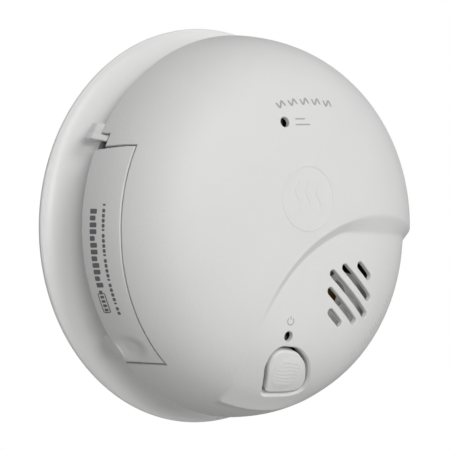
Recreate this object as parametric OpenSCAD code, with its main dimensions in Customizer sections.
// Round wall-mounted smoke and carbon monoxide alarm, mains powered with a backup cell.
// Modelled with z pointing out of the wall and y up, then stood up so that the front faces -Y.
// All dimensions are millimetres.

/* [Overall size] */
// Radius of the mounting bracket's skirt
bracket_r = 70.75; // [69:0.25:74]
// Distance from the wall to the highest point of the cover
depth = 63; // [61:0.25:66]
// Radius the cover's side tends to
cover_r = 68.25; // [67:0.25:69]
// Thickness of the moulded walls
wall = 2; // [1.6:0.1:2.4]

/* [Front cover] */
// Roundness of the cover's shoulder (2 is an ellipse, higher is boxier)
shoulder = 3.3; // [2.6:0.1:4.2]
// Height of the cover's lower edge above the wall
cover_edge = 22.5; // [21.5:0.1:24]
// Radius of the curved panel sunk into the lower right of the face
panel_r = 58.4; // [54:0.1:62]
// How far the panel is sunk at the middle of the face
panel_drop = 2.3; // [2:0.1:3]
// Slope of the panel towards the upper right (degrees)
panel_tilt = 2.5; // [2:0.1:3.8]
// Roundness of the panel's shoulder
panel_shoulder = 3.6; // [3.2:0.1:4.2]
// Diameter of the two indicator holes
lamp_hole = 3.6; // [3:0.1:4.5]

/* [Sounder grille] */
// Middle of the grille, to the right of centre
grille_x = 22.9; // [20:0.1:27]
// Middle of the grille, measured upwards from centre
grille_y = -22.6; // [-26:0.1:-20]
// Distance between neighbouring slots
grille_pitch = 5.4; // [4.6:0.1:6]
// Width of a slot
grille_slot = 2.7; // [1.4:0.1:3]
// Slope of the slots (degrees)
grille_angle = -38; // [-50:1:-30]

/* [Test button] */
// Radius of the button's well
button_r = 12; // [11:0.1:12.6]
// Travel of the button
button_travel = 1.2; // [0.8:0.1:1.5]

/* [Battery drawer] */
// Angle of the drawer's hinge, anticlockwise from the right
hinge_angle = 163.2; // [161:0.1:165]
// Distance of the hinge from the middle of the alarm
hinge_r = 61.6; // [61:0.1:62]
// Height of the drawer's lower end, measured upwards from centre
drawer_low = -49.2; // [-50:0.1:-48.4]
// Height of the drawer's front edge above the wall
drawer_top = 40.1; // [39.5:0.1:41.5]

/* [Mounting] */
// Distance between the vertical pair of box screws
screw_pitch_v = 83.3; // [80:0.1:86]
// Distance between the horizontal pair of box screws
screw_pitch_h = 88.9; // [86:0.1:92]
// Width of the bracket's screw slots
slot_w = 4.6; // [4:0.1:5]
// Length of the bracket's screw slots
slot_l = 12; // [9:0.5:14]
// Radius of the wire opening in the bracket
wire_r = 26; // [22:0.5:29]

/* [Hidden] */
$fn = 72;

eps = 0.01;
big = 200;
dome_z0 = 6;                    // height at which the cover's curve stands upright
panel_c = [37.8, -52.7];        // middle of the sunk panel
panel_dir = [0.663, 0.748];     // direction in which the panel slopes down
bracket_floor = 2.4;
neck_z = 17.5;                  // top of the bracket's skirt
neck_r = bracket_r - 8.7;
floor_z = 3.5;                  // back of the rear housing
floor_top = 5.7;
low_r = 54.3;                   // radius of the housing below its step
house_r = 58.8;
step_z = 8;
flange_z = 20.8;
flange_top = 22.3;
flange_r = 65.4;
board_z = 20;
board_t = 1.6;
board_top = board_z + board_t;
hook_at = [20, 110, 200, 290];
boss_at = [70, 140, 245, 350];
boss_r = 49.5;
boss_top = 19.9;
board_screw_at = [[-26, 10], [44, 18], [2, -29]];
hinge = [hinge_r * cos(hinge_angle), hinge_r * sin(hinge_angle)];
pin_r = 1.25;
sweep_r = 7.86;                 // edge of the drawer, rounded about its hinge
drawer_gap = 0.35;
drawer_wall = 1.8;
tray_dir = 196;
tray_in = 38.5;
tray_out = 54.5;
tray_s0 = -24.5;
tray_s1 = 30.5;
tray_z0 = 23.4;
tray_z1 = 38.9;
cell_r = 7.25;
cell_l = 50.5;
cell_rho = 46.5;
cell_z = 31.8;
scoop_r = 14;                   // hollow for the thumb that opens the drawer
slider_dir = 153.1;
slider_travel = 2;
chamber = [17, 20];
chamber_r = 21;
co_at = [-18, -10];
horn_at = [28, -27.5];
horn_r = 12.5;
horn_z = 40;
horn_top = 49.6;
port_at = [23.6, -22.7];        // the horn's mouth, under the middle of the grille
port_r = 4.8;
alarm_at = [-9.7, 36.3];
power_at = [-4.1, -38.3];
button_at = [0.3, -50];
well_c = [-0.5, -53.7];
plunger_top = 27.5;
inlet = [24, 13];
emblem_at = [0, 10.2];

white = "#dcdcda";
grey = "#b9bab8";
black = "#202020";
metal = "#b8b8b8";

// ---------------------------------------------------------------- shared shapes

// Side view of the cover: a superellipse from height zb up to the middle of the face.
function dome_pts(r, h, zb, n = shoulder, k = 22) =
    let (a = asin(pow((zb - dome_z0) / (h - dome_z0), n / 2)))
    [for (i = [0:k]) let (t = a + (90 - a) * i / k)
        [r * pow(cos(t), 2 / n), dome_z0 + (h - dome_z0) * pow(sin(t), 2 / n)]];

// Solid under the cover's surface, shrunk by inset.
module dome(inset = 0, zb = cover_edge)
    rotate_extrude() polygon(concat([[0, zb]], dome_pts(cover_r - inset, depth - inset, zb)));

// Solid under the sunk panel's surface, shrunk by inset.
module panel(inset = 0) {
    h = depth - panel_drop;
    translate([0, 0, h]) rotate(a = panel_tilt, v = [-panel_dir[1], panel_dir[0], 0])
        translate([0, 0, -h]) rotate_extrude()
            polygon(concat([[0, 12]],
                dome_pts(cover_r - 1.85 - inset, h - inset, 12, panel_shoulder)));
}

module at_panel(r) translate([panel_c[0], panel_c[1], 10]) cylinder(r = r, h = 70);

// The cover as a solid body, shrunk by inset, with its panel sunk in.
module cover_body(inset) {
    difference() {
        dome(inset, cover_edge - inset);
        at_panel(panel_r + inset);
    }
    intersection() {
        panel(inset);
        at_panel(panel_r + inset);
    }
}

module ring(r0, r1, z0, z1) translate([0, 0, z0]) difference() {
    cylinder(r = r1, h = z1 - z0);
    translate([0, 0, -1]) cylinder(r = r0, h = z1 - z0 + 2);
}

module tube(p, r0, r1, z0, z1) translate([p[0], p[1], 0]) ring(r0, r1, z0, z1);

module rod(p, r, z0, z1) translate([p[0], p[1], z0]) cylinder(r = r, h = z1 - z0);

// A box given by its middle, size and heights.
module slab(p, s, z0, z1, a = 0)
    translate([p[0], p[1], z0]) rotate(a) translate([-s[0] / 2, -s[1] / 2, 0])
        cube([s[0], s[1], z1 - z0]);

// Everything between two directions seen from the middle.
module sector(a0, a1, z0, z1, r = 120) {
    n = ceil((a1 - a0) / 45);
    translate([0, 0, z0]) linear_extrude(z1 - z0)
        polygon(concat([[0, 0]], [for (i = [0:n]) let (a = a0 + (a1 - a0) * i / n)
            [r * cos(a), r * sin(a)]]));
}

module arc_wall(r0, r1, a0, a1, z0, z1) intersection() {
    ring(r0, r1, z0, z1);
    sector(a0, a1, z0 - 1, z1 + 1);
}

module stadium(l, w) {
    square([l - w, w], center = true);
    for (s = [-1, 1]) translate([s * (l - w) / 2, 0]) circle(d = w);
}

// Outline of the button's well, grown by g.
module well(g) intersection() {
    translate(well_c) circle(r = button_r + g);
    polygon([[-5.6 - 0.45 * g, -59.1 - 1.05 * g], [20, -56.5 - 1.05 * g],
        [20, -30], [-20.8 - 1.1 * g, -30]]);
}

// Places things in the drawer's own frame: x along the cell, y towards the outside.
module tray_frame() rotate(tray_dir + 90) mirror([0, 1, 0]) children();

// Places things in the slider's frame: x along its travel, y towards the outside.
module slider_frame() rotate(slider_dir + 90) mirror([0, 1, 0]) children();

// ---------------------------------------------------------------- bracket

module mounting_bracket() color(white) {
    n = 12;
    outer = [for (i = [0:n]) let (t = 90 * i / n)
        [bracket_r - 8.7 * sin(t), 2.5 + (neck_z - 2.5) * (1 - cos(t))]];
    inner = [for (i = [n:-1:0]) let (t = 90 * i / n)
        [bracket_r - wall - 8.7 * sin(t), 2.5 + (neck_z - 2.5) * (1 - cos(t))]];
    difference() {
        union() {
            rotate_extrude() polygon(concat([[bracket_r, 0]], outer, inner,
                [[bracket_r - wall, bracket_floor], [20, bracket_floor], [20, 0]]));
            ring(wire_r, wire_r + 1.6, bracket_floor - 1, bracket_floor + 0.6);
            for (a = [65, 155, 245, 335])
                arc_wall(46, 47.4, a - 12, a + 12, bracket_floor - 1, bracket_floor + 0.6);
        }
        translate([0, 0, -1]) cylinder(r = wire_r, h = 10);
        for (s = [-1, 1]) {
            translate([0, s * screw_pitch_v / 2, -1]) linear_extrude(6) rotate(90)
                stadium(slot_l, slot_w);
            translate([s * screw_pitch_h / 2, 0, -1]) linear_extrude(6)
                stadium(slot_l, slot_w);
        }
        for (a = [45, 135, 225, 315]) rotate(a) translate([40, 0, -1]) linear_extrude(6)
            rotate(90) stadium(16, 5);
    }
    for (a = hook_at) {
        arc_wall(57.5, 59, a - 10.5, a + 7, bracket_floor - 1, 7.5);
        arc_wall(55, 58, a - 10.5, a + 7, 6, 7.5);
        arc_wall(55, 58, a - 10.5, a - 8.3, bracket_floor - 1, 7.5);
    }
}

// ---------------------------------------------------------------- rear housing

module rear_housing() color(grey) {
    ear = 6;
    difference() {
        union() {
            rotate_extrude() polygon([[0, floor_z], [low_r, floor_z], [low_r, step_z],
                [house_r, step_z], [house_r, flange_z], [flange_r, flange_z],
                [flange_r, flange_top], [house_r - wall, flange_top],
                [house_r - wall, step_z + 1.8], [low_r - 1.8, step_z + 1.8],
                [low_r - 1.8, floor_top], [0, floor_top]]);
            for (a = hook_at) arc_wall(low_r - 1, 57, a - 8, a + 7, floor_z, 5.6);
            for (a = boss_at) rotate(a) rod([boss_r, 0], 4, floor_z, boss_top);
            for (p = board_screw_at) rod(p, 3, floor_top - 1, boss_top);
            rod(hinge, 2.4, 18.2, flange_top);
            rotate(hinge_angle) {
                slab([hinge_r - ear, 0], [3, 4], step_z + 1, 34.4);
                slab([hinge_r - ear / 2, 0], [ear + 0.5, 3], 31.4, 34.4);
                rod([hinge_r, 0], 2.3, 31.4, 34.4);
            }
            slider_frame() slab([-3.4, 57.6], [9.6, 1.2], flange_top - 1, 27);
        }
        for (a = boss_at) rotate(a) {
            rod([boss_r, 0], 3.5, floor_z - 1, 6.4);
            rod([boss_r, 0], 1.7, floor_z, boss_top + 1);
        }
        for (p = board_screw_at) rod(p, 1.05, 11, boss_top + 1);
        rod(hinge, pin_r + 0.03, 17, 36);
        slab([0, 0], [inlet[0] + 0.8, inlet[1] + 0.8], floor_z - 1, floor_top + 1);
        for (i = [0:54]) rotate(6 * i + 3) if (abs(6 * i + 3 - hinge_angle) > 4)
            slab([62.4, 0], [3.6, 3.4], flange_z - 1, flange_top + 1);
    }
}

// ---------------------------------------------------------------- front cover

// Everything past the drawer's lower end, whose face leans so that it can swing out.
module past_drawer(g) translate([-46.6, drawer_low - g, 22.5]) rotate([3.8, 0, 14.5])
    translate([-30, -40, -30]) cube([60, 40, 80]);

module drawer_region(g, z1) {
    difference() {
        sector(hinge_angle, 235, 5, z1);
        past_drawer(g);
        // The front edge falls a little towards the lower end.
        translate([0, 0, z1]) rotate(185) rotate([-1.45, 0, 0]) cube([100, 100, 50]);
    }
    rod(hinge, sweep_r + g, 5, z1);
}

module front_cover() color(white) {
    half = [4.3, 9.7, 12.9, 9.8, 4.4];
    difference() {
        union() {
            difference() {
                cover_body(0);
                cover_body(wall);
                drawer_region(drawer_gap, drawer_top + drawer_gap);
                translate([0, 0, -big + cover_edge]) cylinder(r = 100, h = big);
                slider_frame() slab([3.775, 66], [6.05, 12], 12, 27.3);
            }
            intersection() {
                cover_body(1);
                for (a = boss_at) rotate(a) rod([boss_r, 0], 3.3, board_top + 0.1, 62);
            }
            intersection() {
                dome(-0.35);
                tube(emblem_at, 10.9, 11.65, 55, 70);
            }
        }
        translate([grille_x, grille_y, 40]) rotate(grille_angle) linear_extrude(30)
            for (k = [0:4]) translate([0, (k - 2) * grille_pitch])
                stadium(2 * half[k], grille_slot);
        rod(alarm_at, lamp_hole / 2, 40, 70);
        rod(power_at, lamp_hole / 2, 40, 70);
        translate([0, 0, 30]) linear_extrude(40) well(0);
        for (a = boss_at) rotate(a) rod([boss_r, 0], 1.5, 10, 42);
    }
}

// ---------------------------------------------------------------- electronics

module circuit_board() color("#2f6b3c") difference() {
    rod([0, 0], 56, board_z, board_top);
    for (a = boss_at) rotate(a) rod([boss_r, 0], 1.7, 0, 60);
    for (p = board_screw_at) rod(p, 1.3, 0, 60);
    rotate(hinge_angle) slab([55.8, 0], [6, 5], 0, 60);
    slider_frame() slab([0, 57], [16, 3], 0, 60);
}

module smoke_chamber_base() color(black) translate([chamber[0], chamber[1], 0]) {
    difference() {
        rod([0, 0], chamber_r, 22.4, 24.4);
        for (a = [0:45:315]) rotate(a) rod([8, 0], 1.2, 20, 26);
    }
    ring(chamber_r - 1, chamber_r, 24.3, 25.4);
    for (a = [0:20:340]) if (a != 200 && a != 340) rotate(a) {
        slab([15.4, 0], [6, 1], 24.3, 37, 35);
        slab([17.7, 2.6], [1, 3.2], 24.3, 37, -12);
    }
    for (a = [200, 340]) rotate(a) difference() {
        slab([13.8, 0], [8.4, 6.4], 24.3, 33);
        translate([0, 0, 29]) rotate([0, 90, 0]) cylinder(r = 2.55, h = 30);
        slab([13.8, 0], [9, 5.1], 29, 34);
    }
    for (a = [30, 150, 270]) rotate(a) rod([17, 0], 1.5, board_top, 22.5);
}

module smoke_chamber_cap() color(black) translate([chamber[0], chamber[1], 0]) {
    rod([0, 0], chamber_r, 37.3, 39.3);
    ring(chamber_r - 1, chamber_r, 36, 37.4);
    difference() {
        rod([0, 0], 9, 39.2, 41.2);
        rod([0, 0], 7.8, 39.3, 42);
    }
}

module insect_screen() color(metal) translate([chamber[0], chamber[1], 0]) difference() {
    ring(19.55, 19.85, 24.5, 37.2);
    for (i = [0:44], z = [0:2]) rotate(8 * i) slab([19.7, 0], [2, 1.5], 25.7 + 3.8 * z, 28.4 + 3.8 * z);
}

module lamp(a, c) color(c) translate([chamber[0], chamber[1], 29]) rotate(a) rotate([0, 90, 0]) {
    translate([0, 0, 11]) cylinder(r = 2.45, h = 5);
    translate([0, 0, 11]) sphere(r = 2.45);
    translate([0, 0, 15.6]) cylinder(r = 2.5, h = 0.9);
    for (s = [-1, 1]) translate([-0.25, s * 1.27 - 0.25, 16]) cube([0.5, 0.5, 1.6]);
}

module infrared_emitter() lamp(200, "#d8d0c0");

module photodiode() lamp(340, "#303038");

module co_sensor_can() color(metal) difference() {
    union() {
        rod(co_at, 10, 22.2, 36);
        rod(co_at, 10.6, 22.2, 23.4);
        rod(co_at, 8.6, 35.9, 38);
        for (a = [30, 150, 270]) translate([co_at[0], co_at[1], 0]) rotate(a)
            rod([6, 0], 0.5, board_top - 3, 22.3);
    }
    rod(co_at, 7.2, 36.8, 40);
}

module co_sensor_filter() color("#f2f2ee") difference() {
    rod(co_at, 7.15, 36.8, 38.2);
    rod(co_at, 1.1, 37.4, 40);
}

module sounder_horn() color(grey) {
    difference() {
        rod(horn_at, horn_r, horn_z, horn_top);
        rod(horn_at, horn_r - 1.4, horn_z - 1, horn_z + 2.6);
        rod(horn_at, horn_r - 2.6, horn_z, horn_top - 1.6);
        rod(port_at, port_r, horn_top - 4, horn_top + 1);
    }
    intersection() {
        rod(horn_at, horn_r - 0.4, horn_z, horn_top + 1);
        tube(port_at, port_r, port_r + 1, horn_top - 4, horn_top + 0.5);
    }
    for (a = [90, 210, 330]) translate([horn_at[0], horn_at[1], 0]) rotate(a) {
        rod([horn_r + 0.8, 0], 2, board_top, horn_z + 6);
        rod([horn_r + 0.8, 0], 2.6, board_top, board_top + 2);
    }
}

module piezo_disc() color("#b08a3c") rod(horn_at, 11, horn_z + 2.1, horn_z + 2.5);

module piezo_ceramic() color("#dcd8c8") rod(horn_at, 8, horn_z + 1.8, horn_z + 2.1);

module sounder_contacts() color(metal)
    for (p = [[3.6, 1.8], [6.6, 1.8], [9.6, 2.1]]) translate([horn_at[0], horn_at[1], 0])
        rotate(30) rod([p[0], 0], 0.6, board_top, horn_z + p[1]);

module test_switch() color(black) difference() {
    slab(button_at, [6.2, 6.2], board_top, 25.4);
    rod(button_at, 1.78, 22.6, 30);
}

module switch_plunger() color("#d8d8d8") rod(button_at, 1.7, 24.2, plunger_top);

module test_button() color(white) {
    difference() {
        intersection() {
            translate([0, 0, 30]) linear_extrude(40) well(-0.7);
            panel(0.3);
        }
        difference() {
            panel(2.2);
            translate([0, 0, 30]) linear_extrude(40) difference() {
                well(1);
                well(-2.2);
            }
        }
        translate([0, 0, -40]) panel(0);
        translate([0, 0, 20]) linear_extrude(21) square(200, center = true);
    }
    intersection() {
        panel(1);
        rod(button_at, 2.4, plunger_top, 60);
    }
    rod(button_at, 4, 31.3, 32.5);
}

module button_spring() color(metal) {
    t = 0.4;
    p = [[3.4, board_top], [9.4, board_top], [10.2, board_top + 0.8], [10.2, 24.4],
        [9.6, 25.2], [4.6, 30.6], [2.7, 31.3]];
    q = [[3.4, board_top + t], [9.2, board_top + t], [9.8, board_top + 1], [9.8, 24.2],
        [9.2, 24.9], [4.3, 30.2], [2.7, 30.8]];
    n = len(p) - 1;
    translate([button_at[0], button_at[1] + 1.5, 0]) rotate([90, 0, 0]) linear_extrude(3)
        polygon(concat(p, [for (i = [n:-1:0]) q[i]]));
}

module chip_lamp(p, c) color(c) {
    slab(p, [3.2, 2.8], board_top, board_top + 1.2);
    rod(p, 1.1, board_top + 1.1, board_top + 1.9);
}

module alarm_led() chip_lamp(alarm_at, "#d8c8c0");

module power_led() chip_lamp(power_at, "#c8d8c8");

module light_pipe(p, top) color("#e8f0ec") {
    rod(p, 1.6, board_top + 2.2, top);
    rod(p, 2.4, board_top + 2.2, board_top + 4);
    rod(p, 2.4, top - 7, top - 5.6);
}

module alarm_light_pipe() light_pipe(alarm_at, 57.4);

module power_light_pipe() light_pipe(power_at, 57.2);

module ac_inlet_housing() color("#e4e0d0") difference() {
    union() {
        slab([0, 0], inlet, floor_z + 0.1, board_z);
        slab([0, inlet[1] / 2], [4, 1.6], 6.4, 9);
    }
    slab([0, 0], [inlet[0] - 3, inlet[1] - 3], floor_z - 1, 15.6);
    for (s = [-1, 1]) slab([s * 7, inlet[1] / 2], [2.4, 4], floor_z - 1, 12);
}

module ac_inlet_pins() color(metal) for (s = [-1, 0, 1])
    slab([s * 6.2, 0], [0.8, 2.8], 5.6, board_top + 1.4);

module film_capacitor() color("#c8a030") {
    slab([20, -18], [18, 8], board_top + 0.3, 34, -40);
    for (s = [-1, 1]) translate([20, -18, 0]) rotate(-40) rod([s * 7.5, 0], 0.4, board_z - 1, board_top + 0.4);
}

module electrolytic_capacitors() color("#28304a")
    for (c = [[-22, -32, 5, 14], [-10, -27, 4, 11], [-30, 28, 4, 11]]) {
        rod([c[0], c[1]], c[2], board_top + 0.3, board_top + c[3]);
        rod([c[0], c[1]], c[2] - 0.3, board_top + c[3] - 0.1, board_top + c[3] + 0.4);
        for (s = [-1, 1]) rod([c[0] + 1.5 * s, c[1]], 0.3, board_z - 1, board_top + 0.4);
    }

module microcontroller() color(black) {
    slab([-16, 14], [7.5, 7.5], board_top + 0.15, board_top + 1.5);
    for (i = [-3:3], s = [-1, 1])
        slab([-16 + s * 4.2, 14 + i], [1.2, 0.4], board_top, board_top + 0.5);
}

module line_choke() color("#5a4636") translate([44, -24, 0]) {
    rod([0, 0], 5, board_top + 0.2, board_top + 1.4);
    rod([0, 0], 3.9, board_top + 1.3, board_top + 10);
    rod([0, 0], 5, board_top + 9.9, board_top + 11);
}

module varistor() color("#2c4f8c") {
    translate([29, -44, 29.5]) rotate(35) rotate([90, 0, 0]) cylinder(r = 5.2, h = 3.6, center = true);
    for (s = [-1, 1]) translate([29, -44, 0]) rotate(35) rod([2.5 * s, 0], 0.4, board_z - 1, 26);
}

module chip_parts() color("#8c7a5c")
    for (p = [[-6, 24, 0], [-2, 12, 90], [-34, -4, 0], [-32, 14, 90], [27, 44, 20], [-30, -18, 90],
        [12, -8, 0], [44, 2, 90], [-4, 46, 0], [8, -38, 0], [-16, 30, 45], [32, -4, 0]])
        slab([p[0], p[1]], [3.2, 1.6], board_top, board_top + 0.8, p[2]);

// ---------------------------------------------------------------- fasteners

module screw(p, r, head_r, z0, z1, up) translate([p[0], p[1], 0]) {
    h = 2;
    hz = up ? z1 : z0 - h;
    rod([0, 0], r, z0 - eps, z1 + eps);
    difference() {
        rod([0, 0], head_r, hz, hz + h);
        for (a = [0, 90]) slab([0, 0], [head_r * 1.3, 0.8], up ? hz + h - 1 : hz - 1,
            up ? hz + h + 1 : hz + 1, a);
    }
}

module housing_screws() color(metal) for (a = boss_at)
    rotate(a) screw([boss_r, 0], 1.45, 3.1, 6.4, 36, false);

module board_screws() color(metal) for (p = board_screw_at)
    screw(p, 1, 2.2, 12, board_top, true);

// ---------------------------------------------------------------- battery drawer

module at_scoop() rotate(222.6) translate([cover_r + scoop_r - 4, 0, 32]) children();

module battery_drawer() color(white) {
    difference() {
        union() {
            intersection() {
                difference() {
                    dome(0, cover_edge + 0.1);
                    dome(drawer_wall, cover_edge - 2);
                }
                drawer_region(0, drawer_top);
                sector(hinge_angle - 15, 236, 10, 60);
            }
            difference() {
                intersection() {
                    dome(0.5, cover_edge + 0.1);
                    sector(212, 236, 10, drawer_top);
                    at_scoop() sphere(r = scoop_r + 1.6);
                }
                past_drawer(0);
            }
            intersection() {
                ring(65.9, 67.6, 15.8, cover_edge + 2);
                rotate(221) translate([67, 0, 21.3]) rotate([0, 90, 0])
                    cylinder(r = 5.5, h = 12, center = true);
            }
            tray_frame() {
                difference() {
                    translate([tray_s0, tray_in, tray_z0])
                        cube([tray_s1 - tray_s0, tray_out - tray_in, tray_z1 - tray_z0]);
                    translate([tray_s0 + 1.3, tray_in + 0.6, tray_z0 + 1])
                        cube([tray_s1 - tray_s0 - 2.6, tray_out - tray_in - 1.2, 30]);
                }
                for (s = [-16, 3, 22]) slab([s, tray_out + 5.7], [1.6, 12], tray_z0, 34);
            }
            rod(hinge, 2.3, 22.7, 31);
            rotate(hinge_angle) slab([hinge_r + 2.2, 0], [4.6, 3], 22.8, 31);
        }
        at_scoop() sphere(r = scoop_r);
        rod(hinge, pin_r + 0.08, 20, 40);
        difference() {
            tray_frame() slab([3, tray_out + 8], [60, 12], 15, 50);
            dome(0.4, 10);
        }
    }
}

module battery_cell() color("#3a5a78") tray_frame()
    translate([(tray_s0 + tray_s1) / 2 - cell_l / 2 + 0.2, cell_rho, cell_z]) rotate([0, 90, 0]) {
        translate([0, 0, 0.8]) cylinder(r = cell_r, h = cell_l - 2);
        cylinder(r = cell_r - 1.4, h = 1);
        translate([0, 0, cell_l - 1.3]) cylinder(r = 2.8, h = 1.3);
    }

module battery_contacts() color(metal) tray_frame() {
    translate([tray_s0 + 1.35, cell_rho - 4, 26]) cube([0.35, 8, 12]);
    translate([tray_s0 + 1.5, cell_rho - 1.5, 30]) cube([0.55, 3, 4]);
    translate([tray_s1 - 1.7, cell_rho - 4, 26]) cube([0.35, 8, 12]);
}

module drawer_hinge_pin() color(metal) rod(hinge, pin_r, 18.4, 34.2);

// ---------------------------------------------------------------- activation slider

module activation_slider() color(white) difference() {
    slider_frame() {
        for (w = [[-3.1, 1.2, 67.55, 22.35], [0.95, 3.2, 66.6, 25.6]])
            translate([w[0], 0, 0]) rotate([90, 0, 90]) linear_extrude(w[1] - w[0])
                polygon([[65.85, 15.3], [68.5, 15.3], [68.6, 18.9], [w[2], w[3]],
                    [65.85, w[3]]]);
        slab([1.75, 65], [1.4, 3.2], 23, 25.4);
        slab([-0.4, 62.6], [4.6, 3.6], 23, 26.4);
        slab([-3.3, 60.1], [6.4, 2.8], 22.6, 28.4);
        slab([0, 56.1], [2, 7.5], 27.3, 28.4);
    }
    // Room for the drawer's edge when the drawer is open and the slider is down.
    rotate(slider_dir + 90) translate([-slider_travel, 0]) rotate(-slider_dir - 90)
        rod(hinge, sweep_r + 0.3, 10, 40);
}

module slide_switch() color(black) slider_frame() difference() {
    slab([1.2, 51.6], [9, 3.8], board_top, 25.2);
    slab([1.2, 51.6], [4.8, 1.8], 23, 26);
}

module slide_switch_knob() color(white) slider_frame() slab([0, 51.6], [2, 1.5], 23.4, 28.4);

// ---------------------------------------------------------------- parts in place

module place() rotate([90, 0, 0]) children();

place() mounting_bracket();
place() rear_housing();
place() front_cover();
place() circuit_board();
place() smoke_chamber_base();
place() smoke_chamber_cap();
place() insect_screen();
place() infrared_emitter();
place() photodiode();
place() co_sensor_can();
place() co_sensor_filter();
place() sounder_horn();
place() piezo_disc();
place() piezo_ceramic();
place() sounder_contacts();
place() test_button();
place() switch_plunger();
place() test_switch();
place() button_spring();
place() alarm_led();
place() alarm_light_pipe();
place() power_led();
place() power_light_pipe();
place() ac_inlet_housing();
place() ac_inlet_pins();
place() film_capacitor();
place() electrolytic_capacitors();
place() microcontroller();
place() line_choke();
place() varistor();
place() chip_parts();
place() housing_screws();
place() board_screws();
place() battery_drawer();
place() battery_cell();
place() battery_contacts();
place() drawer_hinge_pin();
place() activation_slider();
place() slide_switch();
place() slide_switch_knob();
